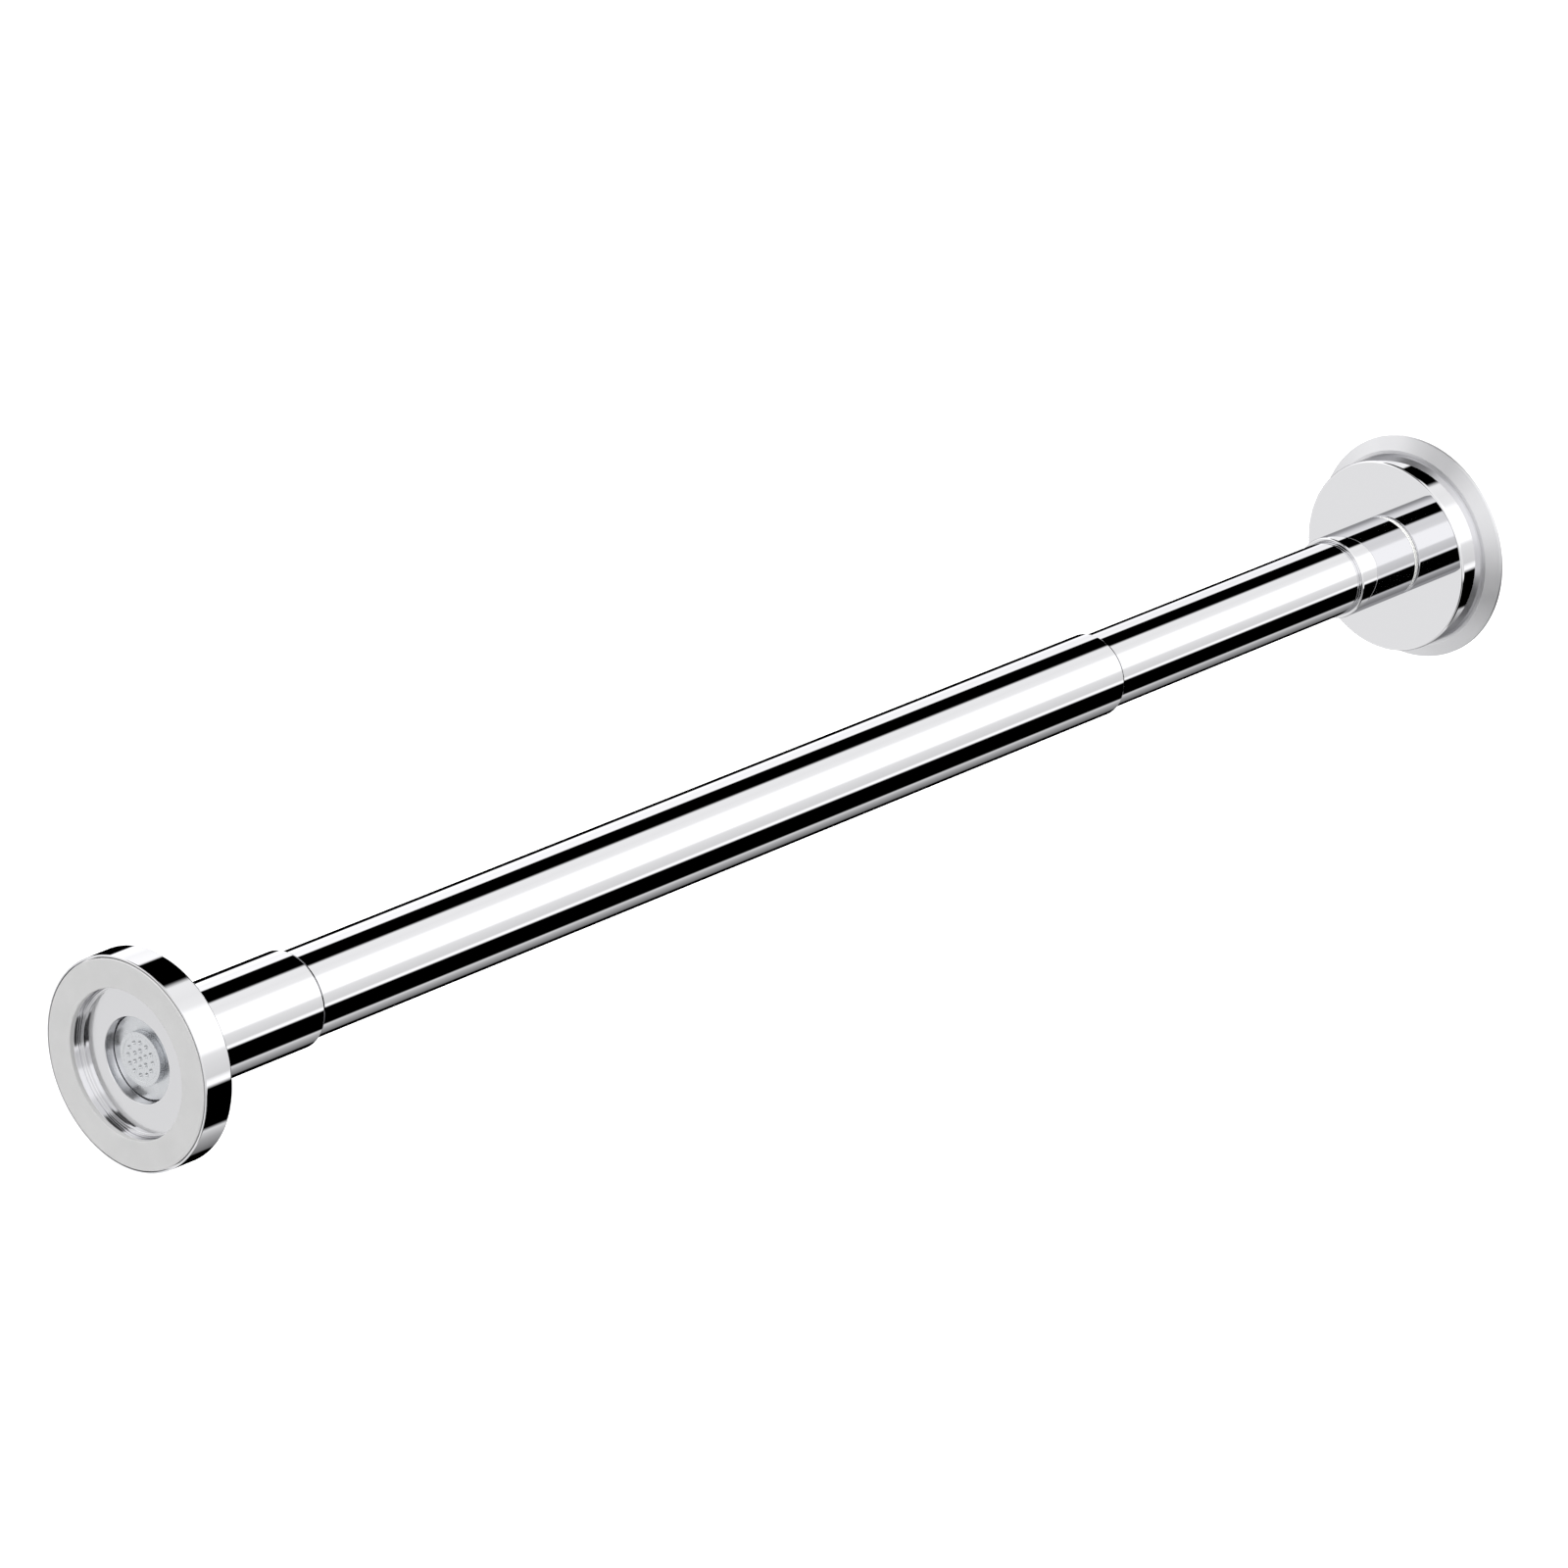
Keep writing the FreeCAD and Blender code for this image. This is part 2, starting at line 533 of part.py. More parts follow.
def all_parts():
    parts = {
        "left_flange": left_flange(),
        "left_grip_ring": left_grip_ring(),
        "left_hub_disc": left_hub_disc(),
        "left_foot_washer": left_foot_washer(),
        "left_foot_screw": left_foot_screw(),
        "jack_stem": jack_stem(),
        "left_collar": left_collar(),
        "collar_nut": collar_nut(),
        "collar_grub_screw": collar_grub_screw(),
        "outer_tube": outer_tube(),
        "left_end_plug": left_end_plug(),
        "thrust_washer": thrust_washer(),
        "mouth_liner": mouth_liner(),
        "inner_tube": inner_tube(),
        "right_collar": right_collar(),
        "right_collar_screw": right_collar_screw(),
        "right_bearing_bush": right_bearing_bush(),
        "lock_pivot_plug": lock_pivot_plug(),
        "pivot_cross_pin": pivot_cross_pin(),
        "cam_washer": cam_washer(),
        "cam_screw": cam_screw(),
        "lock_cam": lock_cam(),
        "cam_ring": cam_ring(),
        "right_flange": right_flange(),
        "right_base_plate": right_base_plate(),
        "right_grip_pad": right_grip_pad(),
        "right_spigot": right_spigot(),
        "spigot_circlip": spigot_circlip(),
        "right_thrust_washer": right_thrust_washer(),
        "spigot_screw": spigot_screw(),
    }
    for number, angle in enumerate(PLUG_PIN_ANGLES, 1):
        parts[f"plug_pin_{number}"] = plug_pin(angle)
    for number, screw in enumerate(base_screws(), 1):
        parts[f"base_screw_{number}"] = screw
    return parts


def main():
    os.makedirs("parts", exist_ok=True)
    for name, shape in all_parts().items():
        shape.exportStep(f"parts/{name}.step")


main()
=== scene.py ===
"""Telescopic window security bar: turned chrome feet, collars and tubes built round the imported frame.

The file is laid out as an add-on. Each operator makes one piece or one group of like pieces.
All lengths in the code are metres unless a name says millimetres.
"""

import json
import math
from functools import cache

import bmesh
import bpy
import numpy as np
from mathutils import Matrix, Vector


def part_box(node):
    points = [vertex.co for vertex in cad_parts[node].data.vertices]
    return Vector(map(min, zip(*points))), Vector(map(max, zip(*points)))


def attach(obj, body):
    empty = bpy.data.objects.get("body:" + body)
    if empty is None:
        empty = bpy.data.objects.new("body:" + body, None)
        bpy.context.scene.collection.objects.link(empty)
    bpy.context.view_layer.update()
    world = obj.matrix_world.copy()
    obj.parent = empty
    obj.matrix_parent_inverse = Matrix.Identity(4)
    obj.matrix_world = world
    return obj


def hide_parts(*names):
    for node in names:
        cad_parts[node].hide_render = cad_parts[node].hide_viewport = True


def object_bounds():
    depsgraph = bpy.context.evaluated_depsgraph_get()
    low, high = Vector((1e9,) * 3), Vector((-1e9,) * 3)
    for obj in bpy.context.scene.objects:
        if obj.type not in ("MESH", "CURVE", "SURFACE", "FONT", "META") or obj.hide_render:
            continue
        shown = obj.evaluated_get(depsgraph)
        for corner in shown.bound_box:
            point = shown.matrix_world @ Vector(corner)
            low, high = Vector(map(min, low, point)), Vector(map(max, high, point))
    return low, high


bl_info = {
    "name": "Window Security Bar",
    "version": (1, 0, 0),
    "blender": (4, 5, 0),
    "location": "3D View > Sidebar > Security Bar",
    "description": "Builds the pieces, finishes and studio of a telescopic window bar",
    "category": "Add Mesh",
}

MM = 0.001
TOUCH = 0.01 * MM  # coordinates nearer than this count as the same
OVERRUN = 1.0 * MM  # a cutter runs this far past the surface that it opens
ARC_STEPS = 6  # sides in a rounded corner
ARC_SHARE = 0.45  # the most of a straight side that a rounded corner may use up
SUPPORT = 0.12 * MM  # from a corner to the extra point on the straight side beside it
SHARP_ANGLE = math.radians(35)  # faces that meet at more than this keep a hard edge
LEAD_TIP_SHARE = 0.3  # round at a lead chamfer's tip, as a share of the fine edge

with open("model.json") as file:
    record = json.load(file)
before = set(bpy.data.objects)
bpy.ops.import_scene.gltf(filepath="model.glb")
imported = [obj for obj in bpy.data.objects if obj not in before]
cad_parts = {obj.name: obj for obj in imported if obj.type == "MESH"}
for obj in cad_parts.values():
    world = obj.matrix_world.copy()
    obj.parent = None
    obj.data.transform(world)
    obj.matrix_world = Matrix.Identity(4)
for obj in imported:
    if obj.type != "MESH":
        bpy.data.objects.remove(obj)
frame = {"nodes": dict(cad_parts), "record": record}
CAD_BOX = [list(corner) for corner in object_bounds()]


# Colours


def linear(hex_colour):
    """The linear RGB of an sRGB hex colour such as C8CCD0."""
    parts = np.array([int(hex_colour[i:i + 2], 16) for i in (0, 2, 4)]) / 255
    low = parts / 12.92
    high = ((parts + 0.055) / 1.055) ** 2.4
    return tuple(float(v) for v in np.where(parts <= 0.04045, low, high))


def rgba(colour):
    """A colour with full opacity, as a shader's socket takes it."""
    return (*colour[:3], 1.0)


# Sizes and colours that a user would change


def length_prop(label, what, millimetres):
    """A length that is given in millimetres and kept in metres."""
    return bpy.props.FloatProperty(
        name=label, description=what, default=millimetres * MM, min=0.0, unit="LENGTH", precision=5
    )


def colour_prop(label, what, hex_colour):
    """A colour that is given as sRGB hex and kept linear."""
    return bpy.props.FloatVectorProperty(
        name=label, description=what, default=linear(hex_colour), size=3, min=0.0, max=1.0,
        subtype="COLOR"
    )


def angle_prop(label, what, degrees):
    """An angle that is given in degrees and kept in radians."""
    return bpy.props.FloatProperty(
        name=label, description=what, default=math.radians(degrees), subtype="ANGLE"
    )


class SecurityBarSizes(bpy.types.PropertyGroup):
    """Edge rounds, wall thicknesses and thread of the turned pieces."""

    segments: bpy.props.IntProperty(
        name="Segments", description="Faces round each turned piece", default=192, min=24, max=512
    )
    foot_edge: length_prop("Foot edge", "Round on the outer edges of the feet", 0.7)
    collar_edge: length_prop("Collar edge", "Round on the ends of the collars", 0.5)
    fine_edge: length_prop("Fine edge", "Round on inner and small edges", 0.15)
    lead_length: length_prop("Lead length", "Length of the shallow chamfer on a sleeve's end", 1.0)
    lead_depth: length_prop("Lead depth", "Depth of the shallow chamfer on a sleeve's end", 0.58)
    outer_wall: length_prop("Outer tube wall", "Wall of the outer tube", 0.7)
    inner_wall: length_prop("Inner tube wall", "Wall of the inner tube", 1.0)
    hole_clearance: length_prop("Hole clearance", "Room round a screw or washer", 0.2)
    running_clearance: length_prop("Running clearance", "Room between a shaft and its bore", 0.06)
    foot_screw_shank: length_prop("Foot screw shank", "Radius of the foot screw's shank", 4.0)
    thread_pitch: length_prop("Thread pitch", "Pitch of the jack stem's thread", 1.5)
    thread_depth: length_prop("Thread depth", "Depth of the jack stem's thread", 0.75)
    thread_radius: length_prop("Thread radius", "Outer radius of the jack stem's thread", 6.0)
    stem_shoulder: length_prop("Stem shoulder", "Length of the stem's shoulder", 3.0)
    hub_disc: length_prop("Hub disc", "Thickness of the recess floor", 2.2)
    hub_rim: length_prop("Hub rim", "Width of the low rim round the recess floor", 0.8)
    grip_seam: length_prop("Grip seam", "Gap between the left grip ring and its lip", 0.35)
    plate_boss: length_prop("Plate boss", "Radius of the base plate's hidden boss", 12.0)
    spigot: length_prop("Spigot", "Radius of the post at the right foot", 8.0)
    dimple_radius: length_prop("Dimple radius", "Radius of a dimple at the face", 0.75)
    dimple_depth: length_prop("Dimple depth", "Depth of a dimple", 0.5)
    cup_web: length_prop("Cup web", "Thickness of the right cup's disc", 3.2)
    cup_cavity: length_prop("Cup cavity", "Radius of the right cup's cavity", 18.0)
    plate_rim: length_prop("Plate rim", "Width of the base plate's straight rim", 1.0)
    plate_step: length_prop("Plate step", "Radius where the base plate's slope begins", 31.0)
    pad_groove: length_prop("Pad groove", "Depth of the grooves in the right grip pad", 0.4)
    pad_groove_pitch: length_prop("Pad groove pitch", "Distance between the pad's grooves", 4.0)


class SecurityBarColours(bpy.types.PropertyGroup):
    """Base colour of each finish."""

    chrome: colour_prop("Chrome", "Polished chrome plate", "E9E9EB")
    chrome_edge: colour_prop("Chrome edge", "Chrome plate seen at a grazing angle", "A6A6A8")
    satin: colour_prop("Satin chrome", "Fine turned chrome plate", "DFDFE1")
    plate: colour_prop("Plate", "Bead-blasted chrome plate", "E6E6E8")
    grip: colour_prop("Grip", "Pale grey soft plastic", "ACACAC")
    zinc: colour_prop("Zinc", "Bright zinc plate", "D4D6D9")
    brass: colour_prop("Brass", "Machined brass", "D9B56A")
    nylon: colour_prop("Nylon", "Black moulded nylon", "232426")
    acetal: colour_prop("Acetal", "White moulded acetal", "ECECE8")
    rubber: colour_prop("Rubber", "Black moulded rubber", "1B1B1C")
    floor: colour_prop("Floor", "Plain pale floor", "F4F4F4")


class SecurityBarStage(bpy.types.PropertyGroup):
    """Camera, floor and light."""

    azimuth: angle_prop("Azimuth", "Camera's turn about Z; zero looks along +Y", -48.27)
    elevation: angle_prop("Elevation", "Camera's height angle", 21.02)
    distance: bpy.props.FloatProperty(
        name="Distance", description="Camera to the aim point", default=2.392, min=0.1, unit="LENGTH"
    )
    lens: bpy.props.FloatProperty(
        name="Lens", description="Focal length on a 36 mm sensor", default=193.0, min=10.0, unit="CAMERA"
    )
    aim_left: length_prop("Aim left", "How far left of the bar's middle the camera aims", 10.6)
    floor_drop: bpy.props.FloatProperty(
        name="Floor drop", description="Floor below the bar", default=0.75, min=0.05, unit="LENGTH"
    )
    studio: bpy.props.FloatProperty(
        name="Studio light", description="Brightness of the studio all round", default=1.22, min=0.0
    )
    key: bpy.props.FloatProperty(
        name="Key light", description="Power of the large light above, in watts", default=260.0, min=0.0
    )


# Profiles


def extent(node):
    """Lowest X, highest X and radius of a round CAD node that lies along X."""
    low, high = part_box(node)
    return low.x, high.x, (high.z - low.z) / 2


def arc_points(before, corner, after, radius):
    """Points of the arc of that radius that is tangent to both sides of a corner.

    The tangent length is radius / tan(half the corner's angle), and the centre lies on the bisector
    at radius / sin(half the angle). The radius is cut back where the tangent would use up more than
    ARC_SHARE of the shorter side. Point t of the arc is the spherical blend of its two ends.
    """
    u = before - corner
    v = after - corner
    short = min(np.linalg.norm(u), np.linalg.norm(v))
    u = u / np.linalg.norm(u)
    v = v / np.linalg.norm(v)
    half = math.acos(float(np.clip(u @ v, -1, 1))) / 2
    radius = min(radius, ARC_SHARE * short * math.tan(half))
    centre = corner + (u + v) / np.linalg.norm(u + v) * radius / math.sin(half)
    start = corner + u * radius / math.tan(half) - centre
    end = corner + v * radius / math.tan(half) - centre
    sweep = math.pi - 2 * half
    t = np.linspace(0, 1, ARC_STEPS + 1)[:, None]
    return centre + (np.sin((1 - t) * sweep) * start + np.sin(t * sweep) * end) / math.sin(sweep)


def profile(corners, closed=True):
    """Outline with rounded corners from (x, radius, round) triples.

    Each rounded corner becomes an arc, and each straight side between arcs gets a point close to
    both its ends, so that flat faces and cylinders keep true normals right up to their edges.
    """
    points = np.array([(x, r) for x, r, _ in corners], float)
    rounds = [c[2] for c in corners]
    count = len(points)
    pieces = []
    for i in range(count):
        at_end = not closed and i in (0, count - 1)
        if at_end or rounds[i] <= 0:
            pieces.append(points[i:i + 1])
        else:
            before = points[i - 1]
            after = points[(i + 1) % count]
            pieces.append(arc_points(before, points[i], after, rounds[i]))
    out = []
    for i in range(count if closed else count - 1):
        here = pieces[i]
        side = pieces[(i + 1) % count][0] - here[-1]
        length = np.linalg.norm(side)
        out.append(here)
        if length > 6 * SUPPORT:
            step = side / length * SUPPORT
            out.append(np.array([here[-1] + step, here[-1] + side - step]))
    if not closed:
        out.append(pieces[-1])
    return np.vstack(out)


# Surfaces


def turned_grid(outline, segments, shape=None):
    """Surface of revolution about the bar's axis, as vertices and faces.

    Point (x, r) of the outline at angle t goes to (x, r cos t, r sin t). shape(x, r, t) may return
    new x and r, for a thread or dimples. An outline that starts and ends on the axis is closed by a
    fan at each pole, and any other outline is a closed loop.
    """
    poles = outline[0, 1] == 0 and outline[-1, 1] == 0
    rows = outline[1:-1] if poles else outline
    count = len(rows)
    turn = np.linspace(0, 2 * np.pi, segments, endpoint=False)
    x, t = np.meshgrid(rows[:, 0], turn, indexing="ij")
    r = np.repeat(rows[:, 1:2], segments, axis=1)
    if shape:
        x, r = shape(x, r, t)
    points = np.stack([x, r * np.cos(t), r * np.sin(t)], axis=-1).reshape(-1, 3)
    i, j = np.meshgrid(np.arange(count - 1 if poles else count), np.arange(segments), indexing="ij")
    i_next = (i + 1) % count
    j_next = (j + 1) % segments
    quads = np.stack([i * segments + j, i_next * segments + j, i_next * segments + j_next,
                      i * segments + j_next], axis=-1).reshape(-1, 4)
    faces = quads.tolist()
    if poles:
        ends = np.array([[outline[0, 0], 0, 0], [outline[-1, 0], 0, 0]])
        points = np.vstack([points, ends])
        ring = np.arange(segments)
        after = (ring + 1) % segments
        first = np.stack([np.full(segments, len(points) - 2), ring, after], axis=-1)
        base = (count - 1) * segments
        last = np.stack([np.full(segments, len(points) - 1), base + after, base + ring], axis=-1)
        faces += first.tolist() + last.tolist()
    return points, faces


def radial_rod(x, r_low, r_high, radius, angle, segments=48):
    """A cylinder that stands on the bar's axis, turned about X by angle from +Y towards +Z.

    Its circle lies across the direction (0, cos a, sin a), and point t of the circle is at
    radius times (cos t along X + sin t along (0, -sin a, cos a)).
    """
    t = np.linspace(0, 2 * np.pi, segments, endpoint=False)
    out = np.array([0, math.cos(angle), math.sin(angle)])
    side = np.array([0, -math.sin(angle), math.cos(angle)])
    round_x = np.cos(t)[:, None] * [1, 0, 0] + np.sin(t)[:, None] * side
    circle = np.array([x, 0, 0]) + radius * round_x
    points = np.vstack([circle + out * r_low, circle + out * r_high])
    j = np.arange(segments)
    after = (j + 1) % segments
    sides = np.stack([j, after, segments + after, segments + j], axis=-1).tolist()
    return points, sides + [j[::-1].tolist(), (segments + j).tolist()]


def new_mesh(name, points, faces):
    """A mesh whose faces point outwards, smooth except across real corners."""
    mesh = bpy.data.meshes.new(name)
    mesh.from_pydata(points, [], faces)
    work = bmesh.new()
    work.from_mesh(mesh)
    bmesh.ops.recalc_face_normals(work, faces=work.faces)
    work.to_mesh(mesh)
    work.free()
    smooth(mesh)
    return mesh


def smooth(mesh):
    """Smooth shading, with hard edges where faces meet at more than SHARP_ANGLE."""
    mesh.polygons.foreach_set("use_smooth", np.ones(len(mesh.polygons), bool))
    mesh.set_sharp_from_angle(angle=SHARP_ANGLE)
    mesh.update()


def add_piece(name, points, faces, finish, body, nodes):
    """Puts a piece in the scene with its finish, on its body, in place of its CAD nodes."""
    piece = bpy.data.objects.new(name, new_mesh(name, points, faces))
    bpy.context.scene.collection.objects.link(piece)
    piece.data.materials.append(finish)
    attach(piece, body)
    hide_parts(*nodes)
    return piece


def turned_piece(name, corners, finish, body, nodes, closed=True, shape=None):
    """A piece turned from a profile. An open profile starts and ends on the axis."""
    segments = bpy.context.scene.bar_sizes.segments
    points, faces = turned_grid(profile(corners, closed), segments, shape)
    return add_piece(name, points, faces, finish, body, nodes)


def cut_hole(piece, points, faces):
    """Takes a closed cutter away from a piece and keeps the result as its mesh."""
    cutter = bpy.data.objects.new("cutter", new_mesh("cutter", points, faces))
    bpy.context.scene.collection.objects.link(cutter)
    cut = piece.modifiers.new("hole", "BOOLEAN")
    cut.operation = "DIFFERENCE"
    cut.solver = "EXACT"
    cut.object = cutter
    graph = bpy.context.evaluated_depsgraph_get()
    mesh = bpy.data.meshes.new_from_object(piece.evaluated_get(graph))
    piece.modifiers.clear()
    old = piece.data
    piece.data = mesh
    mesh.name = piece.name
    bpy.data.meshes.remove(old)
    cutter_mesh = cutter.data
    bpy.data.objects.remove(cutter)
    bpy.data.meshes.remove(cutter_mesh)
    smooth(mesh)


def ring_corners(x0, x1, r_in, r_out, outer_round, inner_round=0.0):
    """The four corners of a plain sleeve or washer."""
    return [(x0, r_in, inner_round), (x0, r_out, outer_round), (x1, r_out, outer_round),
            (x1, r_in, inner_round)]


def lead_corners(x, radius):
    """The two corners of a sleeve's shallow end chamfer."""
    sizes = bpy.context.scene.bar_sizes
    soft = sizes.fine_edge
    return [(x - sizes.lead_length, radius, soft),
            (x, radius - sizes.lead_depth, LEAD_TIP_SHARE * soft)]


# Finishes


def add_node(tree, kind, inputs=None, **settings):
    """Adds a node, sets its properties, and links or sets its inputs by name or number."""
    node = tree.nodes.new(kind)
    for key, value in settings.items():
        setattr(node, key, value)
    for socket, value in (inputs or {}).items():
        if isinstance(value, bpy.types.NodeSocket):
            tree.links.new(value, node.inputs[socket])
        else:
            node.inputs[socket].default_value = value
    return node


def new_finish(name):
    """An empty material with its tree, its shader and the Object coordinates."""
    material = bpy.data.materials.new(name)
    material.use_nodes = True
    tree = material.node_tree
    shader = tree.nodes["Principled BSDF"]
    place = add_node(tree, "ShaderNodeTexCoord").outputs["Object"]
    return material, tree, shader, place


def noise(tree, place, size_mm, detail):
    """Noise whose features are about that size."""
    scale = 1 / (size_mm * MM)
    inputs = {"Vector": place, "Scale": scale, "Detail": detail}
    return add_node(tree, "ShaderNodeTexNoise", inputs).outputs["Fac"]


def spread(tree, value, low_in, high_in, low_out, high_out):
    """A value carried evenly from one range to another."""
    return add_node(tree, "ShaderNodeMapRange", {
        "Value": value, "From Min": low_in, "From Max": high_in, "To Min": low_out,
        "To Max": high_out}).outputs["Result"]


def roughness_patches(tree, shader, place, size_mm, low, high):
    """Roughness that drifts between two values over patches of that size."""
    patches = noise(tree, place, size_mm, 6.0)
    tree.links.new(spread(tree, patches, 0.35, 0.7, low, high), shader.inputs["Roughness"])


def grain_bump(tree, shader, place, size_mm, depth_mm, strength):
    """Fine surface grain from noise of that size and depth."""
    bump = add_node(tree, "ShaderNodeBump", {
        "Height": noise(tree, place, size_mm, 3.0), "Strength": strength, "Distance": depth_mm * MM})
    tree.links.new(bump.outputs["Normal"], shader.inputs["Normal"])


def metal(name, colour, patch_mm, low, high, grain=None):
    """A metal of that colour, with patches of roughness from low to high, and a grain given as its
    size and depth in millimetres and its strength."""
    material, tree, shader, place = new_finish(name)
    shader.inputs["Base Color"].default_value = rgba(colour)
    shader.inputs["Metallic"].default_value = 1.0
    roughness_patches(tree, shader, place, patch_mm, low, high)
    if grain:
        grain_bump(tree, shader, place, *grain)
    return material


def moulded_plastic(name, colour, low, high):
    """Injection moulded part: even colour, a soft gloss that drifts, and a spark-eroded grain."""
    material, tree, shader, place = new_finish(name)
    shader.inputs["Base Color"].default_value = rgba(colour)
    shader.inputs["IOR"].default_value = 1.48
    roughness_patches(tree, shader, place, 5.0, low, high)
    grain_bump(tree, shader, place, 0.3, 0.015, 0.4)
    return material


@cache
def polished_chrome():
    """Bright chrome plate over buffed brass or steel: a true mirror with a faint polishing haze,
    greyer where it is seen at a grazing angle."""
    colours = bpy.context.scene.bar_colours
    material = metal("polished_chrome", colours.chrome, 26.0, 0.006, 0.03)
    shader = material.node_tree.nodes["Principled BSDF"]
    shader.inputs["Specular Tint"].default_value = rgba(colours.chrome_edge)
    return material


@cache
def turned_chrome():
    """Chrome over a fine turned face: the reflection is soft, with a faint grain."""
    colour = bpy.context.scene.bar_colours.satin
    return metal("turned_chrome", colour, 12.0, 0.10, 0.17, (0.4, 0.004, 0.3))


@cache
def blasted_chrome():
    """Chrome over a bead-blasted plate: a pale even sheen with only broad, soft highlights."""
    colour = bpy.context.scene.bar_colours.plate
    return metal("blasted_chrome", colour, 14.0, 0.42, 0.5, (0.4, 0.006, 0.4))


@cache
def zinc_plate():
    """Bright zinc plate on steel: pale, slightly blotchy, with a fine tumbled grain."""
    colour = bpy.context.scene.bar_colours.zinc
    return metal("zinc_plate", colour, 2.5, 0.22, 0.38, (0.5, 0.03, 0.35))


@cache
def stippled_zinc():
    """Zinc plate over a stippled head: the stipple is 0.45 mm across and shows as bright flecks."""
    colour = bpy.context.scene.bar_colours.zinc
    return metal("stippled_zinc", colour, 1.2, 0.16, 0.34, (0.45, 0.12, 0.9))


@cache
def machined_brass():
    """Brass as it leaves the lathe: warm and fairly bright, with a fine grain."""
    colour = bpy.context.scene.bar_colours.brass
    return metal("machined_brass", colour, 3.0, 0.2, 0.32, (0.3, 0.01, 0.3))


@cache
def moulded_nylon():
    """Black nylon as moulded: a dull satin."""
    return moulded_plastic("moulded_nylon", bpy.context.scene.bar_colours.nylon, 0.4, 0.55)


@cache
def moulded_acetal():
    """White acetal as moulded: smooth and a little waxy, with a clear soft gloss."""
    return moulded_plastic("moulded_acetal", bpy.context.scene.bar_colours.acetal, 0.25, 0.38)


@cache
def moulded_rubber():
    """Black rubber as moulded: nearly matt."""
    return moulded_plastic("moulded_rubber", bpy.context.scene.bar_colours.rubber, 0.6, 0.75)


@cache
def soft_grip():
    """Pale grey moulded TPE: matt, slightly soft sheen, with a fine mould grain of 0.35 mm."""
    material, tree, shader, place = new_finish("soft_grip")
    tint = spread(tree, noise(tree, place, 9.0, 4.0), 0.3, 0.7, 0.96, 1.02)
    mixed = add_node(tree, "ShaderNodeVectorMath", {
        0: bpy.context.scene.bar_colours.grip, "Scale": tint}, operation="SCALE")
    tree.links.new(mixed.outputs["Vector"], shader.inputs["Base Color"])
    roughness_patches(tree, shader, place, 6.0, 0.42, 0.58)
    shader.inputs["IOR"].default_value = 1.5
    grain_bump(tree, shader, place, 0.35, 0.02, 0.5)
    return material


# Operators, one for each piece or group


class BAR_OT_left_cup(bpy.types.Operator):
    """Chrome cup of the left foot, open to the wall."""

    bl_idname = "bar.left_cup"
    bl_label = "Left cup"

    def execute(self, context):
        sizes = context.scene.bar_sizes
        lip_x, back_x, radius = extent("left_flange")
        _, grip_x, grip_r = extent("left_grip_ring")
        _, web_x, recess_r = extent("left_hub_disc")
        _, seat_x, washer_r = extent("left_foot_washer")
        bore_r = washer_r + sizes.hole_clearance
        hole_r = sizes.foot_screw_shank + sizes.hole_clearance
        fine = sizes.fine_edge
        lip_round = (radius - grip_r) / 2
        turned_piece("left_cup", [
            (lip_x, grip_r, 0), (lip_x, radius, lip_round), (back_x, radius, sizes.foot_edge),
            (back_x, hole_r, fine), (seat_x, hole_r, 0), (seat_x, bore_r, fine), (web_x, bore_r, 0),
            (web_x, recess_r, 0), (grip_x, recess_r, fine), (grip_x, grip_r, 0),
        ], polished_chrome(), "left_foot", ["left_flange"])
        return {"FINISHED"}


class BAR_OT_left_grip(bpy.types.Operator):
    """Flat grip ring that touches the left wall."""

    bl_idname = "bar.left_grip"
    bl_label = "Left grip ring"

    def execute(self, context):
        sizes = context.scene.bar_sizes
        face_x, seat_x, radius = extent("left_grip_ring")
        _, _, recess_r = extent("left_hub_disc")
        turned_piece("left_grip", [
            (face_x, recess_r, 2 * sizes.fine_edge),
            (face_x, radius - sizes.grip_seam, 2 * sizes.fine_edge),
            (seat_x, radius - sizes.grip_seam, 0), (seat_x, recess_r, 0),
        ], soft_grip(), "left_foot", ["left_grip_ring"])
        return {"FINISHED"}


class BAR_OT_left_hub(bpy.types.Operator):
    """Floor of the left recess with its low rim, and the washer at the bottom of its hole."""

    bl_idname = "bar.left_hub"
    bl_label = "Left hub disc and washer"

    def execute(self, context):
        sizes = context.scene.bar_sizes
        rim_x, back_x, radius = extent("left_hub_disc")
        washer_x, seat_x, washer_r = extent("left_foot_washer")
        bore_r = washer_r + sizes.hole_clearance
        face_x = back_x - sizes.hub_disc
        fine = sizes.fine_edge
        turned_piece("left_hub", [
            (face_x, bore_r, 2 * fine), (face_x, radius - sizes.hub_rim, fine),
            (rim_x, radius - sizes.hub_rim, fine), (rim_x, radius, fine), (back_x, radius, 0),
            (back_x, bore_r, 0),
        ], turned_chrome(), "left_foot", ["left_hub_disc"])
        turned_piece("left_washer", ring_corners(
            washer_x, seat_x, sizes.foot_screw_shank + sizes.hole_clearance, washer_r, fine
        ), zinc_plate(), "left_foot", ["left_foot_washer"])
        return {"FINISHED"}


